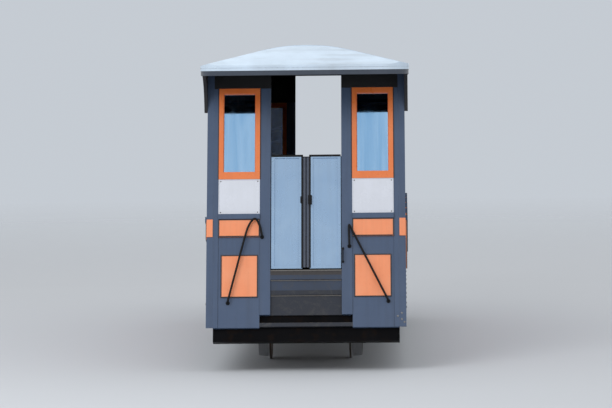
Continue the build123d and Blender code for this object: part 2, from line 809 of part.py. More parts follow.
# Gate lugs: plates on the door posts, each with the upright pin that a leaf drops on
with BuildPart() as gate_lugs:
    for end, floor, window_foot, panel_top in ends:
        leaf_foot = foot(end * wall_half) + floor + gate_foot_gap
        for turn in (-1, 1):
            for height in hinge_heights:
                lug_plane = pin_plane(end, turn, leaf_foot + height - fit)
                with BuildSketch(lug_plane):
                    with Locations((turn * (lug_reach / 2 - lug_overlap), lug_depth / 2 - hinge_back)):
                        Rectangle(lug_reach, lug_depth)
                extrude(amount=-lug_thickness)
                with BuildSketch(lug_plane):
                    Circle(hinge_pin)
                extrude(amount=knuckle_height)
finish(gate_lugs, "gate_lugs")

# Entrance rails: bent rods from the door posts to the skirt, standing off the lower wall
with BuildPart() as entrance_rails:
    base = foot(-wall_half)
    for hand, post_s, bend_out, bend_s, foot_in, foot_s in entrance_rods:
        post_x = hand * (column_in - rail_eye - rail_eye_margin)
        bend_x = post_x + hand * bend_out
        foot_x = hand * (column_out - foot_in)
        with BuildLine(end_plane(-1, -wall_half)) as route:
            Polyline((post_x, base + post_s, 0), (post_x, base + post_s, rail_stand),
                     (bend_x, base + bend_s, rail_stand), (foot_x, base + foot_s, rail_stand),
                     (foot_x, base + foot_s, -board_proud))
        with BuildSketch(Plane(origin=route.line @ 0, z_dir=route.line % 0)):
            Circle(rail_rod)
        sweep(path=route.line, transition=Transition.RIGHT)
        with BuildSketch(end_plane(-1, -wall_half)):
            with Locations((post_x, base + post_s)):
                Rectangle(2 * rail_eye, 2 * rail_eye)
        extrude(amount=rail_eye_thickness)
        with BuildSketch(end_plane(-1, -(wall_half - board_proud))):
            with Locations((foot_x, base + foot_s)):
                Rectangle(2 * rail_eye, 2 * rail_eye)
        extrude(amount=rail_eye_thickness)
finish(entrance_rails, "entrance_rails")
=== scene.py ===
import json
import math

import bpy
from mathutils import Matrix, Vector

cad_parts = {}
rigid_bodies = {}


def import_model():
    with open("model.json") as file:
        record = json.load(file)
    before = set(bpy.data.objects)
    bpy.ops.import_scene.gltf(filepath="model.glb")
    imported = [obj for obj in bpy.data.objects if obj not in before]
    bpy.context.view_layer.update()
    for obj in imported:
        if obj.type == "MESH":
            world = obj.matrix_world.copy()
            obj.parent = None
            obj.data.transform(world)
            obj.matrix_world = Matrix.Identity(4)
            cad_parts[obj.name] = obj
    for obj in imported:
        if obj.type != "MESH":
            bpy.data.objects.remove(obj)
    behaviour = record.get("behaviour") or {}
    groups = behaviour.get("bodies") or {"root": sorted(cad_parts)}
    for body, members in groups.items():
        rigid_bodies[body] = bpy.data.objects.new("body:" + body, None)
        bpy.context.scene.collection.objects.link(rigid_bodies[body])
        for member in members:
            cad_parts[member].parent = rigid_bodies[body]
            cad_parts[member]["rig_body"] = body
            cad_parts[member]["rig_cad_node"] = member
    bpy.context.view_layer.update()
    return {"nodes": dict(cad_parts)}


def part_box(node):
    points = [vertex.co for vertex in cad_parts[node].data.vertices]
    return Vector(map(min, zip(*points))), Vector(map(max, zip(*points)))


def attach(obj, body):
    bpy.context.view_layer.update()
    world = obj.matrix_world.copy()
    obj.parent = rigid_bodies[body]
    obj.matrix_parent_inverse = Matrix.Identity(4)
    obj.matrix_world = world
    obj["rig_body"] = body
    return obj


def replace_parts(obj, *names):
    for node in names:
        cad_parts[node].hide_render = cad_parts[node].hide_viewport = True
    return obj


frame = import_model()
nodes = frame["nodes"]

# ---------------------------------------------------------------------------------------------
# Underframe: two rolled channels joined by cross members, plank headstocks across the ends and
# cast pedestals bolted under the channels. All of it is black, oily steel, dull with road dust.
# ---------------------------------------------------------------------------------------------
lean = math.atan(1 / 3)
body_shift = -0.124


def node(tree, kind, inputs=None, **settings):
    """Add a shader node, set it, and join or set its inputs."""
    made = tree.nodes.new("ShaderNode" + kind)
    for key, value in settings.items():
        setattr(made, key, value)
    for key, value in (inputs or {}).items():
        if isinstance(value, bpy.types.NodeSocket):
            tree.links.new(value, made.inputs[key])
        else:
            made.inputs[key].default_value = value
    return made


def calc(tree, operation, a, b=0.0, clamp=False):
    """Work out one value from two."""
    return node(tree, "Math", {0: a, 1: b}, operation=operation, use_clamp=clamp).outputs[0]


def spread(tree, value, low, high, to_low=0.0, to_high=1.0):
    """Map a value from low..high to another range, held at its ends."""
    made = node(tree, "MapRange", {"Value": value, "From Min": low, "From Max": high,
                                   "To Min": to_low, "To Max": to_high})
    return made.outputs["Result"]


def tint(tree, amount, a, b):
    """Go from colour a to colour b by amount."""
    return node(tree, "Mix", {0: amount, 6: a, 7: b}, data_type="RGBA").outputs[2]


def rgb(*parts):
    return (*parts, 1.0)


def noise(tree, place, scale, detail=2.0, roughness=0.5, distortion=0.0):
    """A cloudy value between 0 and 1."""
    return node(tree, "TexNoise", {"Vector": place, "Scale": scale, "Detail": detail, "Roughness": roughness,
                                   "Distortion": distortion}).outputs["Fac"]


def stretch(tree, place, scale):
    """Coordinates scaled by axis, so that a noise in them is drawn out along the smallest."""
    return node(tree, "Mapping", {"Vector": place, "Scale": scale}).outputs[0]


def new_group(name, inputs, outputs):
    """An empty node group, with the sockets that it takes and gives."""
    tree = bpy.data.node_groups.new(name, "ShaderNodeTree")
    for label, kind in inputs:
        tree.interface.new_socket(label, in_out="INPUT", socket_type=kind)
    for label, kind in outputs:
        tree.interface.new_socket(label, in_out="OUTPUT", socket_type=kind)
    return tree, tree.nodes.new("NodeGroupInput").outputs, tree.nodes.new("NodeGroupOutput").inputs


# Worn edges: where two faces meet, broken up by a fine noise
worn_edges, take, give = new_group("worn_edges", (
    ("Vector", "NodeSocketVector"), ("Radius", "NodeSocketFloat"), ("Scale", "NodeSocketFloat")),
    (("Mask", "NodeSocketFloat"), ("Normal", "NodeSocketVector")))
soft = node(worn_edges, "Bevel", {"Radius": take["Radius"]}, samples=4)
flat = node(worn_edges, "NewGeometry")
facing = node(worn_edges, "VectorMath", {0: soft.outputs[0], 1: flat.outputs["Normal"]},
              operation="DOT_PRODUCT")
edge = spread(worn_edges, facing.outputs["Value"], 0.995, 0.86)
chipped = spread(worn_edges, noise(worn_edges, take["Vector"], take["Scale"], 5.0, 0.7), 0.48, 0.60)
worn_edges.links.new(calc(worn_edges, "MULTIPLY", edge, chipped), give["Mask"])
worn_edges.links.new(soft.outputs[0], give["Normal"])

# Weather: rain streaks down the plumb direction, cloudy blotches and fine grit
weather, take, give = new_group("weather", (("Vector", "NodeSocketVector"), ("Scale", "NodeSocketFloat")), (
    ("Streaks", "NodeSocketFloat"), ("Blotches", "NodeSocketFloat"), ("Grit", "NodeSocketFloat")))
streak = noise(weather, stretch(weather, take["Vector"], (22.0, 22.0, 1.1)), take["Scale"], 4.0, 0.6, 0.4)
blotch = noise(weather, take["Vector"], 3.1, 5.0, 0.62)
weather.links.new(spread(weather, streak, 0.46, 0.72), give["Streaks"])
weather.links.new(spread(weather, blotch, 0.35, 0.70), give["Blotches"])
weather.links.new(noise(weather, take["Vector"], 420.0), give["Grit"])


def new_material(name):
    """A material with a shader, and the plumb coordinates that its patterns follow."""
    made = bpy.data.materials.new(name)
    made.use_nodes = True
    tree = made.node_tree
    place = node(tree, "TexCoord").outputs["Object"]
    plumb = node(tree, "Mapping", {"Vector": place, "Rotation": (lean, 0.0, 0.0)}).outputs[0]
    return made, tree, tree.nodes["Principled BSDF"], plumb


def connect(tree, shader, colour, roughness, height, normal=None, strength=0.3, distance=0.001):
    """Join a finish's colour, roughness and relief to its shader."""
    tree.links.new(colour, shader.inputs["Base Color"])
    tree.links.new(roughness, shader.inputs["Roughness"])
    bump = node(tree, "Bump", {"Height": height, "Strength": strength, "Distance": distance})
    if normal is not None:
        tree.links.new(normal, bump.inputs["Normal"])
    tree.links.new(bump.outputs[0], shader.inputs["Normal"])


def metal(name, colour, worn, rust, shine=0.55, rusty=0.5, metallic=0.6, edge_radius=0.004, gleam=0.5):
    """Steel: dirty or oily, rusty in patches, bare at the edges."""
    made, tree, shader, plumb = new_material(name)
    dirt = node(tree, "Group", {"Vector": plumb, "Scale": 1.3}, node_tree=weather)
    edges = node(tree, "Group", {"Vector": plumb, "Radius": edge_radius, "Scale": 60.0}, node_tree=worn_edges)
    patch = noise(tree, plumb, 9.0, 7.0, 0.68)
    rusted = calc(tree, "MULTIPLY", spread(tree, patch, 0.52, 0.70), rusty)
    tone = tint(tree, rusted, colour, rust)
    tone = tint(tree, calc(tree, "MULTIPLY", edges.outputs["Mask"], 0.6), tone, worn)
    rough = calc(tree, "ADD", calc(tree, "MULTIPLY", dirt.outputs["Blotches"], 0.25), shine - 0.1)
    shader.inputs["Metallic"].default_value = metallic
    shader.inputs["Specular IOR Level"].default_value = gleam
    connect(tree, shader, tone, calc(tree, "ADD", rough, calc(tree, "MULTIPLY", rusted, 0.3), clamp=True),
            calc(tree, "ADD", patch, calc(tree, "MULTIPLY", dirt.outputs["Grit"], 0.3)),
            edges.outputs["Normal"], 0.35, 0.0015)
    return made


def dress(name, finish):
    """Give a CAD node its finish."""
    nodes[name].data.materials.clear()
    nodes[name].data.materials.append(finish)


black_steel = metal("black_steel", rgb(0.004, 0.004, 0.005), rgb(0.04, 0.037, 0.034),
                    rgb(0.026, 0.014, 0.008), gleam=0.12)
for name in ("solebars", "headstocks", "cross_members", "axle_pedestals", "rope_anchor", "gate_lugs"):
    dress(name, black_steel)


def rest():
    """Leave edit mode with nothing selected."""
    if bpy.context.mode != "OBJECT":
        bpy.ops.object.mode_set(mode="OBJECT")
    bpy.ops.object.select_all(action="DESELECT")


def pick(*pieces):
    """Select pieces, the first of them active."""
    rest()
    for piece in pieces:
        piece.select_set(True)
    bpy.context.view_layer.objects.active = pieces[0]


def settle(piece):
    """Put a piece's place, turn and size into its mesh."""
    pick(piece)
    bpy.ops.object.transform_apply(location=True, rotation=True, scale=True)
    return piece


def ease(piece, width, segments=2):
    """Take the sharpness off every edge of a piece."""
    pick(piece)
    bpy.ops.object.mode_set(mode="EDIT")
    bpy.ops.mesh.select_all(action="SELECT")
    bpy.ops.mesh.bevel(offset=width, segments=segments, affect="EDGES")
    bpy.ops.object.mode_set(mode="OBJECT")
    return piece


def hex_bolt(radius, height, place, turn=(0.0, 0.0, 0.0)):
    """A hexagon head with a chamfered crown and a washer under it."""
    rest()
    bpy.ops.mesh.primitive_cylinder_add(vertices=6, radius=radius, depth=height,
                                        location=(0, 0, height * 0.7))
    head = ease(settle(bpy.context.object), radius * 0.12, 1)
    bpy.ops.mesh.primitive_cylinder_add(vertices=16, radius=radius * 1.45, depth=height * 0.2,
                                        location=(0, 0, height * 0.1))
    washer = settle(bpy.context.object)
    pick(head, washer)
    bpy.ops.object.join()
    head.location = place
    head.rotation_euler = turn
    return settle(head)


def join(pieces, name):
    """Make one piece of several and name it."""
    pick(*pieces)
    if len(pieces) > 1:
        bpy.ops.object.join()
    piece = bpy.context.object
    piece.name = name
    piece.data.name = name
    return piece


def opposite(piece):
    """The same piece on the other side of the car, facing the other way."""
    pick(piece)
    bpy.ops.object.duplicate(linked=False)
    second = bpy.context.object
    second.scale.x = -1
    settle(second)
    bpy.ops.object.mode_set(mode="EDIT")
    bpy.ops.mesh.select_all(action="SELECT")
    bpy.ops.mesh.normals_make_consistent(inside=False)
    bpy.ops.object.mode_set(mode="OBJECT")
    return second


def lean_back(piece):
    """Turn a piece from plumb coordinates to the track's, as the whole body stands."""
    piece.rotation_euler = (-lean, 0, 0)
    piece.location = (0, body_shift, 0)
    return settle(piece)


def hang(piece, body, finish):
    """Finish a new piece and fix it to its body."""
    piece.data.materials.clear()
    piece.data.materials.append(finish)
    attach(piece, body)
    return piece


# Two bolts hold each pedestal to its channel, and four its cap round the axle
half_wheelbase, axle_height = 1.7, 0.222
pedestal_face = 0.615
seat_step, seat_level, cap_step = 0.125, 0.424, 0.052
facing_out = (0, math.pi / 2, 0)
bolts = []
for place in (-half_wheelbase, half_wheelbase):
    for step in (-seat_step, seat_step):
        bolts.append(hex_bolt(0.014, 0.013, (pedestal_face, place + step, seat_level), facing_out))
    for rise in (-cap_step, cap_step):
        for step in (-cap_step, cap_step):
            bolts.append(hex_bolt(0.009, 0.009, (pedestal_face, place + step, axle_height + rise), facing_out))
bolts = join(bolts, "pedestal_bolts_right")
hang(opposite(bolts), "car", black_steel).name = "pedestal_bolts_left"
hang(bolts, "car", black_steel)

# ---------------------------------------------------------------------------------------------
# Wheelsets: cast disc wheels pressed on a turned axle. The treads and flanges are rubbed bright
# by the rails, the discs are brown-black with brake dust and the axle is dull machined steel.
# ---------------------------------------------------------------------------------------------
tread_edge, tread_full = 0.193, 0.1965
rim_edge, rim_full = 0.352, 0.36
axle_edge, axle_full = 0.046, 0.042
for place, name in ((-half_wheelbase, "lower_wheelset"), (half_wheelbase, "upper_wheelset")):
    wheel, tree, shader, plumb = new_material(name + "_steel")
    place_in = node(tree, "TexCoord").outputs["Object"]
    parts = node(tree, "SeparateXYZ", {"Vector": place_in}).outputs
    along = calc(tree, "SUBTRACT", parts["Y"], place)
    above = calc(tree, "SUBTRACT", parts["Z"], axle_height)
    radius = calc(tree, "SQRT", calc(tree, "ADD", calc(tree, "MULTIPLY", along, along),
                                     calc(tree, "MULTIPLY", above, above)))
    side = calc(tree, "ABSOLUTE", parts["X"])
    round_ways = node(tree, "CombineXYZ", {
        "X": calc(tree, "MULTIPLY", side, 900.0), "Y": calc(tree, "MULTIPLY", along, 6.0),
        "Z": calc(tree, "MULTIPLY", above, 6.0)}).outputs[0]
    scratch = noise(tree, round_ways, 1.0, 3.0)
    rubbed = calc(tree, "MULTIPLY", spread(tree, radius, tread_edge, tread_full),
                  spread(tree, side, rim_edge, rim_full))
    turned = spread(tree, radius, axle_edge, axle_full)
    bright = calc(tree, "MAXIMUM", rubbed, calc(tree, "MULTIPLY", turned, 0.35))
    dust = spread(tree, noise(tree, place_in, 14.0, 7.0, 0.7), 0.38, 0.68)
    dull = tint(tree, dust, rgb(0.030, 0.026, 0.024), rgb(0.095, 0.055, 0.032))
    polish = tint(tree, scratch, rgb(0.36, 0.36, 0.37), rgb(0.62, 0.62, 0.63))
    connect(tree, shader, tint(tree, bright, dull, polish), spread(tree, bright, 0.0, 1.0, 0.72, 0.28),
            calc(tree, "ADD", calc(tree, "MULTIPLY", dust, 0.6), scratch), None, 0.25, 0.001)
    tree.links.new(spread(tree, bright, 0.0, 1.0, 0.25, 1.0), shader.inputs["Metallic"])
    dress(name, wheel)

# ---------------------------------------------------------------------------------------------
# Floor: oiled hardwood planks stepped up the hill on wedges, with painted risers. Each step has
# a ribbed steel strip screwed along its nosing, and the planks are scuffed pale in patches.
# ---------------------------------------------------------------------------------------------
end_wall = 2.8
lower_foot, upper_foot = -0.54121, 1.32545


def boards(name, tone, deep, pale, pitch, across, along_scale, shine=0.5, groove=0.02, wear=0.5,
           gleam=0.5):
    """Timber laid as boards: grain along one way, a dark joint at each pitch, pale worn patches."""
    made, tree, shader, plumb = new_material(name)
    grain = noise(tree, stretch(tree, plumb, along_scale), 1.0, 8.0, 0.62, 0.9)
    parts = node(tree, "SeparateXYZ", {"Vector": plumb}).outputs
    count = calc(tree, "DIVIDE", parts[across], pitch)
    within = calc(tree, "FRACT", count)
    off = calc(tree, "ABSOLUTE", calc(tree, "SUBTRACT", within, 0.5))
    joint = spread(tree, off, 0.5 - groove, 0.5 - groove / 3)
    each = node(tree, "TexWhiteNoise", {"W": calc(tree, "FLOOR", count)}, noise_dimensions="1D")
    dirt = node(tree, "Group", {"Vector": plumb, "Scale": 1.0}, node_tree=weather)
    edges = node(tree, "Group", {"Vector": plumb, "Radius": 0.004, "Scale": 90.0}, node_tree=worn_edges)
    shade = calc(tree, "ADD", calc(tree, "MULTIPLY", grain, 0.75),
                 calc(tree, "MULTIPLY", each.outputs["Value"], 0.35))
    colour = tint(tree, spread(tree, shade, 0.2, 0.85), deep, tone)
    rubbed = calc(tree, "MULTIPLY", dirt.outputs["Blotches"], wear)
    colour = tint(tree, calc(tree, "MAXIMUM", rubbed, calc(tree, "MULTIPLY", edges.outputs["Mask"], 0.7)),
                  colour, pale)
    colour = tint(tree, calc(tree, "MULTIPLY", joint, 0.85), colour, rgb(0.008, 0.007, 0.006))
    height = calc(tree, "SUBTRACT", calc(tree, "MULTIPLY", grain, 0.5), calc(tree, "MULTIPLY", joint, 2.0))
    connect(tree, shader, colour, spread(tree, grain, 0.3, 0.7, shine - 0.08, shine + 0.14),
            height, edges.outputs["Normal"], 0.45, 0.0015)
    shader.inputs["Specular IOR Level"].default_value = gleam
    return made


floor_planks = boards("floor_planks", rgb(0.24, 0.17, 0.115), rgb(0.085, 0.055, 0.036),
                      rgb(0.30, 0.25, 0.20), 0.095, "Y", (3.0, 60.0, 60.0), 0.55, 0.03, 0.55)
bearer_timber = boards("bearer_timber", rgb(0.16, 0.12, 0.085), rgb(0.05, 0.036, 0.026),
                       rgb(0.22, 0.19, 0.16), 5.0, "Y", (50.0, 3.0, 50.0), 0.7, 0.0005, 0.3)
dress("floor_treads", floor_planks)
dress("step_bearers", bearer_timber)


def block(low, high, width=0.0, segments=2):
    """A planed or rolled bar between two corners, its edges eased."""
    rest()
    middle = [(a + b) / 2 for a, b in zip(low, high)]
    bpy.ops.mesh.primitive_cube_add(size=1, location=middle)
    piece = bpy.context.object
    piece.scale = [abs(b - a) for a, b in zip(low, high)]
    settle(piece)
    return ease(piece, width, segments) if width else piece


def row(piece, count, step):
    """Repeat a piece along a line, in its own mesh."""
    pick(piece)
    copies = piece.modifiers.new("row", "ARRAY")
    copies.count = count
    copies.use_relative_offset = False
    copies.use_constant_offset = True
    copies.constant_offset_displace = step
    bpy.ops.object.modifier_apply(modifier=copies.name)
    return piece


strip_steel = metal("strip_steel", rgb(0.16, 0.155, 0.15), rgb(0.55, 0.54, 0.52), rgb(0.10, 0.06, 0.04), 0.42,
                    0.4, 0.9, 0.002)
door_sill = 0.498
step_run, step_rise, step_count = 0.56, 0.56 / 3, 9
nosing_u = -end_wall + step_run - 0.025
tread_level = lower_foot + door_sill + step_rise
strip_half, strip_depth, rib_half, rib_depth, rib_pitch = 0.385, 0.045, 0.38, 0.004, 0.0105
strip = [block((-strip_half, nosing_u + 0.001, tread_level - 0.0004),
               (strip_half, nosing_u + 0.001 + strip_depth, tread_level + 0.0026), 0.0009)]
for rib in range(4):
    rib_u = nosing_u + 0.006 + rib * rib_pitch
    strip.append(block((-rib_half, rib_u, tread_level + 0.0024),
                       (rib_half, rib_u + rib_depth, tread_level + 0.0042), 0.0008, 1))
strip = row(join(strip, "nosing_strips"), step_count, (0, step_run, step_rise))
hang(lean_back(strip), "car", strip_steel)

# ---------------------------------------------------------------------------------------------
# Body framing: sills that run with the rails, plumb posts, waist boards and cant rails, all of
# planed timber in satin grey-blue oil paint, streaked by rain and rubbed through at the arrises.
# ---------------------------------------------------------------------------------------------


def paint(name, colour, faded, bare, grain=(70.0, 70.0, 3.0), shine=0.42, wear=0.5, dirt=0.5,
          soil=rgb(0.03, 0.03, 0.032), rain=rgb(0.025, 0.026, 0.03), coat=0.06, grain_depth=0.25):
    """Oil paint on timber: faint grain, faded clouds, rain streaks, soiled hollows, chipped arrises."""
    made, tree, shader, plumb = new_material(name)
    grains = noise(tree, stretch(tree, plumb, grain), 1.0, 6.0, 0.6)
    dirty = node(tree, "Group", {"Vector": plumb, "Scale": 1.0}, node_tree=weather)
    edges = node(tree, "Group", {"Vector": plumb, "Radius": 0.004, "Scale": 75.0}, node_tree=worn_edges)
    fade = calc(tree, "MULTIPLY", dirty.outputs["Blotches"], 0.8)
    tone = tint(tree, fade, colour, faded)
    tone = tint(tree, calc(tree, "MULTIPLY", dirty.outputs["Streaks"], 0.30 * dirt), tone, rain)
    specks = spread(tree, noise(tree, plumb, 38.0, 6.0, 0.75), 0.60, 0.72)
    tone = tint(tree, calc(tree, "MULTIPLY", specks, 0.45 * dirt), tone, soil)
    chips = calc(tree, "MULTIPLY", edges.outputs["Mask"], wear)
    tone = tint(tree, chips, tone, bare)
    rough = calc(tree, "ADD", spread(tree, grains, 0.3, 0.7, shine - 0.06, shine + 0.10),
                 calc(tree, "MULTIPLY", chips, 0.3), clamp=True)
    surface = calc(tree, "ADD", calc(tree, "MULTIPLY", grains, grain_depth),
                   calc(tree, "MULTIPLY", dirty.outputs["Grit"], 0.08))
    height = calc(tree, "SUBTRACT", surface, calc(tree, "MULTIPLY", chips, 0.3))
    shader.inputs["Coat Weight"].default_value = coat
    shader.inputs["Coat Roughness"].default_value = 0.25
    connect(tree, shader, tone, rough, height, edges.outputs["Normal"], 0.30, 0.001)
    return made


grey_blue = rgb(0.054, 0.087, 0.158)
grey_faded = rgb(0.067, 0.102, 0.175)
undercoat = rgb(0.20, 0.205, 0.21)
upright_paint = paint("upright_paint", grey_blue, grey_faded, undercoat)
level_paint = paint("level_paint", rgb(0.050, 0.082, 0.150), grey_faded, undercoat, (70.0, 3.0, 70.0))
cross_paint = paint("cross_paint", rgb(0.056, 0.090, 0.164), grey_faded, undercoat, (3.0, 70.0, 70.0))
for name in ("side_posts", "end_stiles"):
    dress(name, upright_paint)
for name in ("side_skirts", "cant_rails", "waist_boards"):
    dress(name, level_paint)
dress("end_boards", cross_paint)
# Headers and hood brackets under the roof's overhang are near black: a painted shade cast by the hood over them
painted_shade_boards = paint("painted_shade_boards", rgb(0.005, 0.0055, 0.007), rgb(0.010, 0.011, 0.014),
                    rgb(0.05, 0.05, 0.052), (3.0, 70.0, 70.0), 0.55, 0.4, 0.4)
for name in ("side_headers", "end_headers", "hood_brackets"):
    dress(name, painted_shade_boards)

# Flat coach bolts along the sill, two at the foot of each post
body_side = 0.840
bay, post_half = 2 * step_run, 0.035
sill_bolts = []
for post in range(6):
    post_u = min(max(-end_wall + bay * post, -end_wall + post_half), end_wall - post_half)
    for step, rise in ((-0.018, 0.205), (0.018, 0.165)):
        level = lower_foot + (post_u + step + end_wall) / 3 + rise
        sill_bolts.append(hex_bolt(0.0075, 0.003, (body_side, post_u + step, level), facing_out))
sill_bolts = join(sill_bolts, "sill_bolts_right")
hang(lean_back(opposite(sill_bolts)), "car", black_steel).name = "sill_bolts_left"
hang(lean_back(sill_bolts), "car", black_steel)

# ---------------------------------------------------------------------------------------------
# Coloured boards: belts and panels of orange gloss paint let into the waist boards and the end
# walls. Each is held by a slim bead pinned round its edge, near black: a painted shadow line round the board.
# ---------------------------------------------------------------------------------------------
orange = rgb(0.91, 0.283, 0.12)
orange_faded = rgb(0.94, 0.36, 0.185)
orange_bare = rgb(0.42, 0.22, 0.13)
orange_boards = paint("orange_boards", orange, orange_faded, orange_bare, (6.0, 70.0, 70.0), 0.34,
                      0.35, 0.45, rgb(0.40, 0.13, 0.06), rgb(0.42, 0.15, 0.08), 0.3)
dress("side_colour_boards", orange_boards)
dress("end_colour_boards", orange_boards)


def copy_node(source, name):
    """A copy of a CAD node with its loose triangles merged, in Blender's face selection."""
    pick(nodes[source])
    bpy.ops.object.duplicate(linked=False)
    piece = bpy.context.object
    piece.parent = None
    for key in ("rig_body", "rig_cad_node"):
        if key in piece:
            del piece[key]
    piece.name = name
    piece.data.name = name
    bpy.ops.object.mode_set(mode="EDIT")
    bpy.ops.mesh.select_mode(type="FACE")
    bpy.ops.mesh.select_all(action="SELECT")
    bpy.ops.mesh.remove_doubles(threshold=0.00005)
    bpy.ops.object.mode_set(mode="OBJECT")
    return piece


def beading(name, source, out_way, width, rise, sink=0.0, least=0.0):
    """Copy a CAD node's faces that look one way and keep a raised rim round each."""
    piece = copy_node(source, name)
    way = Vector(out_way).normalized()
    bpy.ops.object.mode_set(mode="EDIT")
    bpy.ops.mesh.dissolve_limited(angle_limit=0.01)
    bpy.ops.mesh.select_all(action="DESELECT")
    bpy.ops.object.mode_set(mode="OBJECT")
    for face in piece.data.polygons:
        away = face.normal.dot(way) > 0.99
        on_side = way.x == 0 or face.center.x * way.x > 0
        face.select = not (away and on_side and face.area > least)
    bpy.ops.object.mode_set(mode="EDIT")
    bpy.ops.mesh.delete(type="FACE")
    bpy.ops.mesh.select_all(action="SELECT")
    bpy.ops.mesh.inset(thickness=width, use_individual=True)
    bpy.ops.mesh.delete(type="FACE")
    bpy.ops.mesh.select_all(action="SELECT")
    bpy.ops.mesh.extrude_region_move(TRANSFORM_OT_translate={"value": way * (rise + sink)})
    bpy.ops.mesh.select_all(action="SELECT")
    bpy.ops.transform.translate(value=-way * sink)
    bpy.ops.mesh.normals_make_consistent(inside=False)
    bpy.ops.object.mode_set(mode="OBJECT")
    return piece


lower_way = (0, -math.cos(lean), math.sin(lean))
upper_way = (0, math.cos(lean), -math.sin(lean))
# Beads and sash strips are near black: a painted shadow line round the orange boards and the end sashes
shadow_bead_paint = paint("shadow_bead_paint", rgb(0.020, 0.022, 0.028), rgb(0.03, 0.032, 0.04), rgb(0.12, 0.12, 0.12),
                   (30.0, 30.0, 30.0), 0.4, 0.5, 0.3)
side_ways = (("right", (1, 0, 0)), ("left", (-1, 0, 0)))
end_ways = (("lower", lower_way), ("upper", upper_way))
for name, way in side_ways:
    hang(beading("side_beads_" + name, "side_colour_boards", way, 0.008, 0.003, 0.002), "car",
         shadow_bead_paint)
for name, way in end_ways:
    hang(beading("end_beads_" + name, "end_colour_boards", way, 0.008, 0.0035, 0.002, 0.02), "car",
         shadow_bead_paint)

# ---------------------------------------------------------------------------------------------
# Sashes: level frames of orange gloss paint with slim glazing beads, and float glass tinted sky
# blue, a painted reflection of the sky. Those beside the doorways stand a little proud of the wall.
# ---------------------------------------------------------------------------------------------
sash_paint = paint("sash_paint", rgb(0.80, 0.185, 0.040), rgb(0.84, 0.24, 0.075), orange_bare,
                   (20.0, 20.0, 20.0), 0.30, 0.45, 0.4, rgb(0.36, 0.10, 0.04), rgb(0.40, 0.11, 0.05), 0.35)
dress("side_sashes", sash_paint)
dress("end_sashes", sash_paint)
glass, tree, shader, plumb = new_material("window_glass")
film = node(tree, "Group", {"Vector": plumb, "Scale": 0.7}, node_tree=weather)
# The glass's blue tint is a painted reflection of the sky, and its faint vertical streaks are painted
# reflections too
smears_and_reflections = noise(tree, stretch(tree, plumb, (9.0, 9.0, 0.9)), 1.0, 3.0, 0.5, 0.7)
tone = tint(tree, spread(tree, smears_and_reflections, 0.35, 0.66), rgb(0.235, 0.455, 0.725), rgb(0.365, 0.58, 0.83))
shader.inputs["Metallic"].default_value = 1.0
shader.inputs["IOR"].default_value = 1.5
shader.inputs["Alpha"].default_value = 0.82
connect(tree, shader, tone, spread(tree, film.outputs["Streaks"], 0.0, 1.0, 0.035, 0.10), smears_and_reflections,
        None, 0.04, 0.002)
dress("side_glass", glass)
dress("end_glass", glass)
for name, way in side_ways:
    hang(beading("side_glazing_" + name, "side_glass", way, 0.009, 0.0075, 0.001), "car",
         sash_paint)
for name, way in end_ways:
    hang(beading("end_glazing_" + name, "end_glass", way, 0.004, 0.0075, 0.001), "car",
         sash_paint)

# Near-black strips round the end sashes, on the posts and the header: a painted shadow gap round each sash
sash_in, sash_out, sash_head = 0.391, 0.741, 2.104
board_foot, board_head = 0.987, 1.296
strip_width, strip_out = 0.008, 0.003
shadow_strips = []
upper_drop = upper_foot - step_rise
for end, sash_foot, head_level in ((-1, lower_foot + board_head, lower_foot + sash_head),
                                   (1, upper_drop + board_foot, upper_drop + sash_head)):
    face, proud = end * end_wall, end * (end_wall + strip_out)
    for side in (-1, 1):
        for x in (sash_in - strip_width, sash_out):
            shadow_strips.append(block((side * x, face, sash_foot),
                                 (side * (x + strip_width), proud, head_level), 0.001, 1))
        shadow_strips.append(block((side * (sash_in - strip_width), face, head_level),
                             (side * (sash_out + strip_width), proud, head_level + strip_width), 0.001, 1))
hang(lean_back(join(shadow_strips, "sash_shadow_strips")), "car", shadow_bead_paint)

# ---------------------------------------------------------------------------------------------
# Notice boards: blank enamelled plates under the lower end's windows, each with a folded rim
# and a round-headed screw in every corner.
# ---------------------------------------------------------------------------------------------
enamel = paint("enamel", rgb(0.70, 0.735, 0.82), rgb(0.64, 0.67, 0.74), rgb(0.10, 0.06, 0.04),
               (8.0, 8.0, 8.0), 0.22, 0.25, 0.22, rgb(0.42, 0.42, 0.44), rgb(0.38, 0.38, 0.40), 0.6, 0.1)
wall = -end_wall
dress("notice_boards", enamel)
hang(beading("notice_rims", "notice_boards", lower_way, 0.007, 0.0025, 0.001), "car",
     enamel)
screw_in = 0.018
screws = []
for side in (-1, 1):
    for across in (sash_in + screw_in, sash_out - screw_in):
        for level in (board_foot + screw_in, board_head - screw_in):
            rest()
            bpy.ops.mesh.primitive_uv_sphere_add(segments=12, ring_count=8, radius=0.0055)
            dome = bpy.context.object
            dome.scale = (1, 0.45, 1)
            dome.location = (side * across, wall, lower_foot + level)
            screws.append(settle(dome))
hang(lean_back(join(screws, "notice_screws")), "car", strip_steel)

# ---------------------------------------------------------------------------------------------
# Door aprons and risers: hard-worn dark boards below the gates. The sill is a scuffed plank, the
# boards under it step back, and each of their edges carries a thin steel lip.
# ---------------------------------------------------------------------------------------------
apron, tree, shader, plumb = new_material("apron_boards")
parts = node(tree, "SeparateXYZ", {"Vector": plumb}).outputs
dirty = node(tree, "Group", {"Vector": plumb, "Scale": 1.6}, node_tree=weather)
edges = node(tree, "Group", {"Vector": plumb, "Radius": 0.005, "Scale": 60.0}, node_tree=worn_edges)
grains = noise(tree, stretch(tree, plumb, (3.0, 60.0, 60.0)), 1.0, 7.0, 0.65)
scuff = noise(tree, plumb, 12.0, 8.0, 0.78, 0.6)
board_edge, sill_edge, blend = lower_foot + 0.285, lower_foot + 0.414, 0.002
at_lower_end = spread(tree, parts["Y"], -2.0, -2.4)
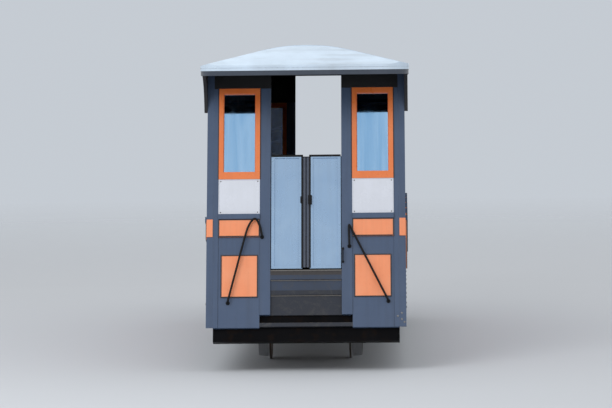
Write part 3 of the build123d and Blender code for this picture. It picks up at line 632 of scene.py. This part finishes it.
# Below board_edge the lower board is painted darker than the one above: painted shade where it steps back under
# it
low = calc(tree, "MULTIPLY", spread(tree, parts["Z"], board_edge + 1.5 * blend, board_edge - 1.5 * blend),
           at_lower_end)
sill = calc(tree, "MULTIPLY", spread(tree, parts["Z"], sill_edge - blend, sill_edge + blend), at_lower_end)
base = tint(tree, low, rgb(0.032, 0.050, 0.090), rgb(0.014, 0.019, 0.032))
base = tint(tree, sill, base, rgb(0.038, 0.035, 0.037))
base = tint(tree, calc(tree, "MULTIPLY", spread(tree, scuff, 0.50, 0.66), 0.55), base,
            rgb(0.075, 0.074, 0.074))
base = tint(tree, calc(tree, "MULTIPLY", dirty.outputs["Blotches"], 0.35), base, rgb(0.022, 0.021, 0.021))
base = tint(tree, calc(tree, "MULTIPLY", edges.outputs["Mask"], 0.7), base, rgb(0.20, 0.17, 0.14))
connect(tree, shader, base, spread(tree, scuff, 0.3, 0.7, 0.42, 0.68), calc(tree, "ADD", grains, scuff),
        edges.outputs["Normal"], 0.35, 0.0012)
dress("door_aprons", apron)
dress("floor_risers", apron)
lip_half, lip_depth, lip_height = 0.298, 0.0065, 0.0095
lips = [block((-lip_half - 0.001, wall - 0.004, lower_foot + door_sill - 0.012),
              (lip_half + 0.001, wall + 0.03, lower_foot + door_sill + 0.0005), 0.002)]
for back, top in ((0.0075, 0.4135), (0.0195, 0.2835)):
    lips.append(block((-lip_half, wall + back, lower_foot + top - lip_height),
                      (lip_half, wall + back + lip_depth, lower_foot + top), 0.0018))
hang(lean_back(join(lips, "apron_lips")), "car", strip_steel)

# Four bright coach bolts at the foot of the right corner post
corner_bolts = []
for x, level in ((0.802, 0.065), (0.802, 0.118), (0.768, 0.092), (0.824, 0.040)):
    corner_bolts.append(hex_bolt(0.006, 0.006, (x, wall, lower_foot + level), (math.pi / 2, 0, 0)))
bright_steel = metal("bright_steel", rgb(0.26, 0.26, 0.265), rgb(0.55, 0.55, 0.54),
                     rgb(0.12, 0.075, 0.05), 0.42, 0.35, 0.95, 0.002)
hang(lean_back(join(corner_bolts, "corner_bolts")), "car", bright_steel)

# ---------------------------------------------------------------------------------------------
# Gates: glossy pale blue sheet in slim frames on lift-off hinges. The top and meeting edges of
# each leaf carry black rubber, faded flaps close most of the gap between them, and a latch
# with a short lever holds the right leaf to a keeper on the left one.
# ---------------------------------------------------------------------------------------------
gate_sheet, tree, shader, plumb = new_material("gate_sheet")
dirty = node(tree, "Group", {"Vector": plumb, "Scale": 0.8}, node_tree=weather)
wave = noise(tree, plumb, 3.5, 2.0, 0.5, 0.8)
tone = tint(tree, wave, rgb(0.235, 0.375, 0.575), rgb(0.315, 0.46, 0.64))
tone = tint(tree, calc(tree, "MULTIPLY", dirty.outputs["Streaks"], 0.16), tone, rgb(0.20, 0.25, 0.31))
shader.inputs["Metallic"].default_value = 0.35
shader.inputs["Coat Weight"].default_value = 0.5
shader.inputs["Coat Roughness"].default_value = 0.08
connect(tree, shader, tone, spread(tree, dirty.outputs["Blotches"], 0.0, 1.0, 0.20, 0.38), wave,
        None, 0.08, 0.003)
rubber, tree, shader, plumb = new_material("edge_rubber")
mottle = noise(tree, plumb, 45.0, 6.0, 0.7)
tone = tint(tree, spread(tree, mottle, 0.4, 0.7), rgb(0.005, 0.005, 0.006), rgb(0.018, 0.018, 0.018))
connect(tree, shader, tone, spread(tree, mottle, 0.3, 0.7, 0.55, 0.8), mottle)
shader.inputs["Specular IOR Level"].default_value = 0.25
faded_rubber, tree, shader, plumb = new_material("faded_rubber")
chalking = noise(tree, plumb, 30.0, 6.0, 0.7)
tone = tint(tree, spread(tree, chalking, 0.4, 0.7), rgb(0.075, 0.090, 0.125), rgb(0.100, 0.115, 0.150))
connect(tree, shader, tone, spread(tree, chalking, 0.3, 0.7, 0.6, 0.8), chalking)
enamel_black, tree, shader, plumb = new_material("black_enamel")
rubs = noise(tree, plumb, 30.0, 7.0, 0.75)
worn = spread(tree, rubs, 0.56, 0.70)
tone = tint(tree, calc(tree, "MULTIPLY", worn, 0.5), rgb(0.004, 0.004, 0.005), rgb(0.03, 0.028, 0.026))
connect(tree, shader, tone, spread(tree, worn, 0.0, 1.0, 0.42, 0.60), rubs, None, 0.1, 0.0008)
shader.inputs["Specular IOR Level"].default_value = 0.22
leaf_in, leaf_out, leaf_height, leaf_clear = 0.032, 0.294, 0.997, 0.014
flap_in, flap_height = 0.004, 0.980
leaf_face = end_wall - 0.010
leaf_back = leaf_face - 0.024
trim_out = 0.0015
for end, end_name, foot_level in ((-1, "lower", lower_foot + door_sill + leaf_clear),
                                  (1, "upper", upper_drop + door_sill + leaf_clear)):
    for hand, hand_name in ((-1, "left"), (1, "right")):
        gate = f"{end_name}_{hand_name}_gate"
        dress(gate, gate_sheet)
        dress(gate + "_panel", gate_sheet)
        top = foot_level + leaf_height
        trim_face, trim_back = end * (leaf_face + trim_out), end * (leaf_back - trim_out)
        trims = [block((hand * leaf_in, trim_face, top - 0.016),
                       (hand * leaf_out, trim_back, top + 0.0035), 0.0025),
                 block((hand * (leaf_in - 0.006), trim_face, foot_level + 0.004),
                       (hand * (leaf_in + 0.009), trim_back, top + 0.0035), 0.0025)]
        hang(lean_back(join(trims, gate + "_rubber")), gate, rubber)
        flap = block((hand * flap_in, end * (leaf_face - 0.010), foot_level + 0.012),
                     (hand * (leaf_in - 0.002), end * (leaf_face - 0.014), foot_level + flap_height), 0.0015)
        hang(lean_back(join([flap], gate + "_flap")), gate, faded_rubber)
        latch_low = foot_level + 0.560
        if hand > 0:
            latch = [block((0.018, end * (leaf_face + 0.013), latch_low),
                           (0.050, end * leaf_face, latch_low + 0.080), 0.003),
                     block((0.031, end * (leaf_face + 0.026), latch_low + 0.030),
                           (0.040, end * (leaf_face + 0.012), latch_low + 0.042), 0.002),
                     block((0.031, end * (leaf_face + 0.031), latch_low - 0.020),
                           (0.040, end * (leaf_face + 0.023), latch_low + 0.044), 0.0025)]
        else:
            latch = [block((-0.048, end * (leaf_face + 0.009), latch_low + 0.012),
                           (-0.034, end * leaf_face, latch_low + 0.070), 0.002)]
        hang(lean_back(join(latch, gate + "_latch")), gate, enamel_black)

# ---------------------------------------------------------------------------------------------
# Entrance rails: black enamelled rod, bent in a jig and screwed through flanged feet to the door
# post and the skirt, one each side of the lower doorway, with a short handle on the right post.
# ---------------------------------------------------------------------------------------------


def bent_rod(route, radius, reach):
    """A rod along plumb points given as x, u and height over the lower wall's foot, eased at its bends."""
    rest()
    bpy.ops.curve.primitive_nurbs_path_add()
    rod = bpy.context.object
    line = rod.data.splines[0]
    line.points.add(len(route) - len(line.points))
    for point, (x, u, s) in zip(line.points, route):
        point.co = (x, u, lower_foot + s, 1)
    line.order_u = reach
    line.use_endpoint_u = True
    rod.data.bevel_depth = radius
    rod.data.bevel_resolution = 5
    rod.data.resolution_u = 10
    rod.data.use_fill_caps = True
    pick(rod)
    bpy.ops.object.convert(target="MESH")
    return bpy.context.object


def flange(x, face, s, radius, depth, round_off):
    """A turned foot standing out from the wall."""
    rest()
    bpy.ops.mesh.primitive_cylinder_add(vertices=28, radius=radius, depth=depth, rotation=(math.pi / 2, 0, 0),
                                        location=(x, face - depth / 2, lower_foot + s))
    return ease(settle(bpy.context.object), round_off, 2)


rods = []
stand = wall - 0.032
left_bends = ((-0.388, 0.885), (-0.430, 0.957), (-0.484, 0.885), (-0.516, 0.775))
right_bends = ((0.363, 0.796), (0.360, 0.892), (0.380, 0.852))
for post_x, post_s, bends, foot_x, foot_s in ((-0.371, 0.786, left_bends, -0.657, 0.215),
                                              (0.366, 0.700, right_bends, 0.690, 0.222)):
    last_x, last_s = bends[-1]
    rods.append(bent_rod(
        [(post_x, wall, post_s), (post_x, stand + 0.008, post_s), (post_x, stand, post_s + 0.012)]
        + [(x, stand, s) for x, s in bends]
        + [((foot_x + last_x) / 2, stand, (foot_s + last_s) / 2),
           (foot_x - (foot_x - last_x) * 0.03, stand, foot_s - (foot_s - last_s) * 0.03),
           (foot_x, stand + 0.008, foot_s), (foot_x, wall + 0.005, foot_s)], 0.009, 3))
    for x, s, face in ((post_x, post_s, wall), (foot_x, foot_s, wall + 0.006)):
        rods.append(flange(x, face, s, 0.017, 0.005, 0.001))
        rods.append(flange(x, face, s, 0.0125, 0.012, 0.0025))
rails = lean_back(join(rods, "bent_entrance_rails"))
pick(rails)
bpy.ops.object.shade_smooth_by_angle(angle=math.radians(40))
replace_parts(hang(rails, "car", enamel_black), "entrance_rails")
handle_x, handle_low, handle_high = 0.311, 0.565, 0.680
handle = [bent_rod([(handle_x, wall, handle_low), (handle_x, wall - 0.026, handle_low),
                    (handle_x, wall - 0.030, handle_low + 0.006), (handle_x, wall - 0.030, handle_high - 0.006),
                    (handle_x, wall - 0.026, handle_high), (handle_x, wall, handle_high)], 0.0055, 3),
          flange(handle_x, wall, handle_low, 0.0105, 0.005, 0.001),
          flange(handle_x, wall, handle_high, 0.0105, 0.005, 0.001)]
handle = lean_back(join(handle, "door_post_handle"))
pick(handle)
bpy.ops.object.shade_smooth_by_angle(angle=math.radians(40))
hang(handle, "car", enamel_black)

# ---------------------------------------------------------------------------------------------
# Roof: a light painted skin over a boarded vault with a bonnet at each end, lapped in sheets and
# edged by a small drip mould on a grey-blue fascia. The boarding below it is nearly black.
# ---------------------------------------------------------------------------------------------
skin, tree, shader, plumb = new_material("roof_skin")
place_in = node(tree, "TexCoord").outputs["Object"]
parts = node(tree, "SeparateXYZ", {"Vector": place_in}).outputs
dirty = node(tree, "Group", {"Vector": place_in, "Scale": 1.0}, node_tree=weather)
edges = node(tree, "Group", {"Vector": place_in, "Radius": 0.005, "Scale": 40.0}, node_tree=worn_edges)
runs = noise(tree, stretch(tree, place_in, (1.2, 16.0, 1.2)), 1.0, 6.0, 0.65)
weave = noise(tree, place_in, 260.0, 3.0)
tone = tint(tree, dirty.outputs["Blotches"], rgb(0.66, 0.79, 0.93), rgb(0.57, 0.68, 0.80))
tone = tint(tree, calc(tree, "MULTIPLY", spread(tree, runs, 0.50, 0.72), 0.45), tone,
            rgb(0.36, 0.39, 0.42))
tone = tint(tree, calc(tree, "MULTIPLY", edges.outputs["Mask"], 0.5), tone, rgb(0.25, 0.26, 0.27))
connect(tree, shader, tone, spread(tree, dirty.outputs["Blotches"], 0.0, 1.0, 0.58, 0.74),
        calc(tree, "ADD", weave, calc(tree, "MULTIPLY", runs, 0.6)), edges.outputs["Normal"], 0.25, 0.0015)
lining = boards("roof_lining", rgb(0.014, 0.0135, 0.014), rgb(0.006, 0.006, 0.0065),
                rgb(0.024, 0.023, 0.022), 0.11, "X", (60.0, 3.0, 60.0), 0.75, 0.035, 0.3, 0.1)
roof_low, roof_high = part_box("roof_shell")
roof_middle = (roof_low.y + roof_high.y) / 2
batten_rise = 0.004


def faces_in(face):
    """Whether a face of the roof looks towards its middle."""
    return face.normal.x * face.center.x + face.normal.y * (face.center.y - roof_middle) < -0.01


vault = copy_node("roof_shell", "roof_vault")
bpy.ops.object.mode_set(mode="EDIT")
bpy.ops.mesh.select_all(action="DESELECT")
bpy.ops.object.mode_set(mode="OBJECT")
for face in vault.data.polygons:
    face.select = face.normal.z > 0.05
bpy.ops.object.mode_set(mode="EDIT")
bpy.ops.transform.translate(value=(0, 0, -batten_rise))
bpy.ops.object.mode_set(mode="OBJECT")
vault.data.materials.clear()
vault.data.materials.append(skin)
vault.data.materials.append(lining)
for face in vault.data.polygons:
    upright = abs(face.normal.z) <= 0.05
    face.material_index = 1 if face.normal.z < -0.05 or (upright and faces_in(face)) else 0
pick(vault)
bpy.ops.object.shade_smooth_by_angle(angle=math.radians(24))
even = vault.modifiers.new("even", "WEIGHTED_NORMAL")
even.keep_sharp = True
bpy.ops.object.modifier_apply(modifier=even.name)
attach(vault, "car")

# Laps: narrow bands of the roof's own shape, left standing where the sheets overlap
lap_width, lap_count, first_lap = 0.034, 9, 0.42
laps = []
for lap in range(lap_count):
    lap_y = roof_low.y + first_lap + lap * (roof_high.y - roof_low.y - 2 * first_lap) / (lap_count - 1)
    strip = copy_node("roof_shell", "lap")
    bpy.ops.object.mode_set(mode="EDIT")
    bpy.ops.mesh.select_all(action="SELECT")
    bpy.ops.mesh.bisect(plane_co=(0, lap_y - lap_width / 2, 0), plane_no=(0, 1, 0), use_fill=True,
                        clear_inner=True)
    bpy.ops.mesh.select_all(action="SELECT")
    bpy.ops.mesh.bisect(plane_co=(0, lap_y + lap_width / 2, 0), plane_no=(0, 1, 0), use_fill=True,
                        clear_outer=True)
    bpy.ops.object.mode_set(mode="OBJECT")
    laps.append(strip)
laps = join(laps, "roof_laps")
pick(laps)
bpy.ops.object.shade_smooth_by_angle(angle=math.radians(24))
hang(laps, "car", skin)
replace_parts(vault, "roof_shell")

# Fascia: grey-blue outside, nearly black on the side that faces the car
fascia_paint = paint("fascia_paint", rgb(0.038, 0.051, 0.076), rgb(0.053, 0.067, 0.094), undercoat,
                     (4.0, 4.0, 70.0), 0.42, 0.5, 0.6)
tree = fascia_paint.node_tree
under_roof = (0.0, roof_middle, 2.4)
from_middle = node(tree, "VectorMath", {0: node(tree, "TexCoord").outputs["Object"], 1: under_roof},
                   operation="SUBTRACT")
outwards = node(tree, "VectorMath", {0: from_middle.outputs[0],
                                     1: node(tree, "NewGeometry").outputs["Normal"]}, operation="DOT_PRODUCT")
shader = tree.nodes["Principled BSDF"]
outer = shader.inputs["Base Color"].links[0].from_socket
two_sided = tint(tree, spread(tree, outwards.outputs["Value"], -0.02, 0.02), rgb(0.008, 0.008, 0.009), outer)
tree.links.new(two_sided, shader.inputs["Base Color"])
dress("roof_fascia", fascia_paint)

# Drip flashing: the roof skin turned down over the top of the fascia
flashing = copy_node("roof_fascia", "roof_flashing")
flash_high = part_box("roof_fascia")[1]
flash_depth, flash_out = 0.024, 0.0025
bpy.ops.object.mode_set(mode="EDIT")
bpy.ops.mesh.select_all(action="SELECT")
bpy.ops.mesh.bisect(plane_co=(0, 0, flash_high.z - flash_depth), plane_no=(0, 0, 1), use_fill=True,
                    clear_inner=True)
bpy.ops.object.mode_set(mode="OBJECT")
grow_x, grow_y = 1 + flash_out / flash_high.x, 1 + flash_out / (flash_high.y - roof_middle)
flashing.scale = (grow_x, grow_y, 1)
flashing.location = (0, roof_middle * (1 - grow_y), 0)
flashing = ease(settle(flashing), 0.0008, 1)
pick(flashing)
bpy.ops.object.shade_smooth_by_angle(angle=math.radians(24))
hang(flashing, "car", skin)
flashing.data.materials.append(lining)
for face in flashing.data.polygons:
    face.material_index = 1 if faces_in(face) or face.normal.z < -0.5 else 0
dress("roof_ribs", boards("rib_timber", rgb(0.12, 0.085, 0.055), rgb(0.05, 0.034, 0.022),
                          rgb(0.17, 0.14, 0.11), 5.0, "X", (3.0, 60.0, 60.0), 0.5, 0.0005, 0.2))

# ---------------------------------------------------------------------------------------------
# Seats: varnished slats on grey painted lockers, one locker to a step along both sides. The slats
# have rounded edges and lie on two cleats across each locker.
# ---------------------------------------------------------------------------------------------
varnish = boards("varnished_slats", rgb(0.36, 0.185, 0.075), rgb(0.15, 0.065, 0.026),
                 rgb(0.44, 0.27, 0.14), step_run, "Y", (60.0, 3.0, 60.0), 0.28, 0.001, 0.35)
locker = paint("locker_paint", rgb(0.085, 0.095, 0.115), rgb(0.105, 0.115, 0.135), undercoat,
               (3.0, 70.0, 70.0), 0.5, 0.5, 0.6)
dress("seat_boxes", locker)
seat_in, seat_out, seat_height, seat_count = 0.38, 0.782, 0.4, 8
slat_count, slat_gap, slat_depth = 5, 0.009, 0.019
slat_width = (seat_out - seat_in - slat_gap * (slat_count - 1)) / slat_count
seat_top = tread_level + seat_height
slats = []
for slat in range(slat_count):
    slat_x = seat_in + slat * (slat_width + slat_gap)
    slats.append(block((slat_x, nosing_u + 0.005, seat_top - slat_depth),
                       (slat_x + slat_width, nosing_u + step_run - 0.005, seat_top), 0.006, 3))
for cleat_u in (nosing_u + 0.05, nosing_u + 0.48):
    slats.append(block((seat_in + 0.02, cleat_u, seat_top - 0.025),
                       (seat_out - 0.004, cleat_u + 0.035, seat_top - slat_depth + 0.0005), 0.001))
slats = row(join(slats, "seat_slats_right"), seat_count, (0, step_run, step_rise))
left_slats = lean_back(opposite(slats))
left_slats.name = "seat_slats_left"
hang(left_slats, "car", varnish)
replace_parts(hang(lean_back(slats), "car", varnish), "seat_boards")

# ---------------------------------------------------------------------------------------------
# Studio: a pale floor that fades into pale surroundings, two soft lamps and the camera of the
# photograph, which stands low down the hill and looks up along the rails.
# ---------------------------------------------------------------------------------------------
bpy.ops.object.select_all(action="DESELECT")
bpy.ops.mesh.primitive_plane_add(size=160, location=(0, 0, -0.0005))
ground = bpy.context.object
ground.name = "studio_floor"
pale = bpy.data.materials.new("studio_pale")
pale.use_nodes = True
tree = pale.node_tree
shader = tree.nodes["Principled BSDF"]
shader.inputs["Roughness"].default_value = 0.9
shader.inputs["Specular IOR Level"].default_value = 0.1
shader.inputs["Base Color"].default_value = rgb(0.60, 0.63, 0.67)
out_way = node(tree, "VectorMath", {0: node(tree, "TexCoord").outputs["Object"]}, operation="LENGTH")
tree.links.new(spread(tree, out_way.outputs["Value"], 8.0, 34.0, 1.0, 0.0), shader.inputs["Alpha"])
ground.data.materials.append(pale)

world = bpy.data.worlds.new("studio")
bpy.context.scene.world = world
world.use_nodes = True
tree = world.node_tree
tree.nodes.clear()
light_path = node(tree, "LightPath")
seen_in_glass = calc(tree, "MAXIMUM", light_path.outputs["Is Glossy Ray"],
                     light_path.outputs["Is Transmission Ray"])
seen = calc(tree, "MAXIMUM", light_path.outputs["Is Camera Ray"], seen_in_glass)
strength = spread(tree, seen, 0.0, 1.0, 0.75, 1.0)
surround = tint(tree, light_path.outputs["Is Camera Ray"], rgb(1.0, 1.0, 1.0), rgb(0.56, 0.60, 0.65))
sky = node(tree, "Background", {"Color": surround, "Strength": strength})
node(tree, "OutputWorld", {"Surface": sky.outputs[0]})


def lamp(name, place, aim, size, power):
    """A soft square lamp that lights the car but isn't mirrored in it."""
    rest()
    bpy.ops.object.light_add(type="AREA", location=place)
    made = bpy.context.object
    made.name = name
    made.data.size = size
    made.data.energy = power
    made.visible_glossy = False
    made.rotation_euler = (Vector(aim) - Vector(place)).to_track_quat("-Z", "Y").to_euler()


lamp("key_lamp", (-5.5, -11.0, 9.0), (0, -2.0, 1.2), 6.0, 520.0)
lamp("top_lamp", (2.0, 2.0, 12.0), (0, 0.5, 1.5), 8.0, 140.0)

photo_place, photo_aim = Vector((0.839, -28.16, 2.44)), Vector((0.0, -2.61, 1.39))
bpy.ops.object.camera_add(location=photo_place)
camera = bpy.context.object
camera.name = "photo_camera"
forward = (photo_aim - photo_place).normalized()
plumb_up = Vector((0, math.sin(lean), math.cos(lean)))
right = forward.cross(plumb_up).normalized()
up = right.cross(forward)
camera.rotation_mode = "QUATERNION"
camera.rotation_quaternion = Matrix((right, up, -forward)).transposed().to_quaternion()
camera.data.sensor_width = 36.0
camera.data.lens = 178.0
camera.data.clip_end = 300.0
bpy.context.scene.camera = camera
bpy.context.scene.view_settings.view_transform = "Standard"
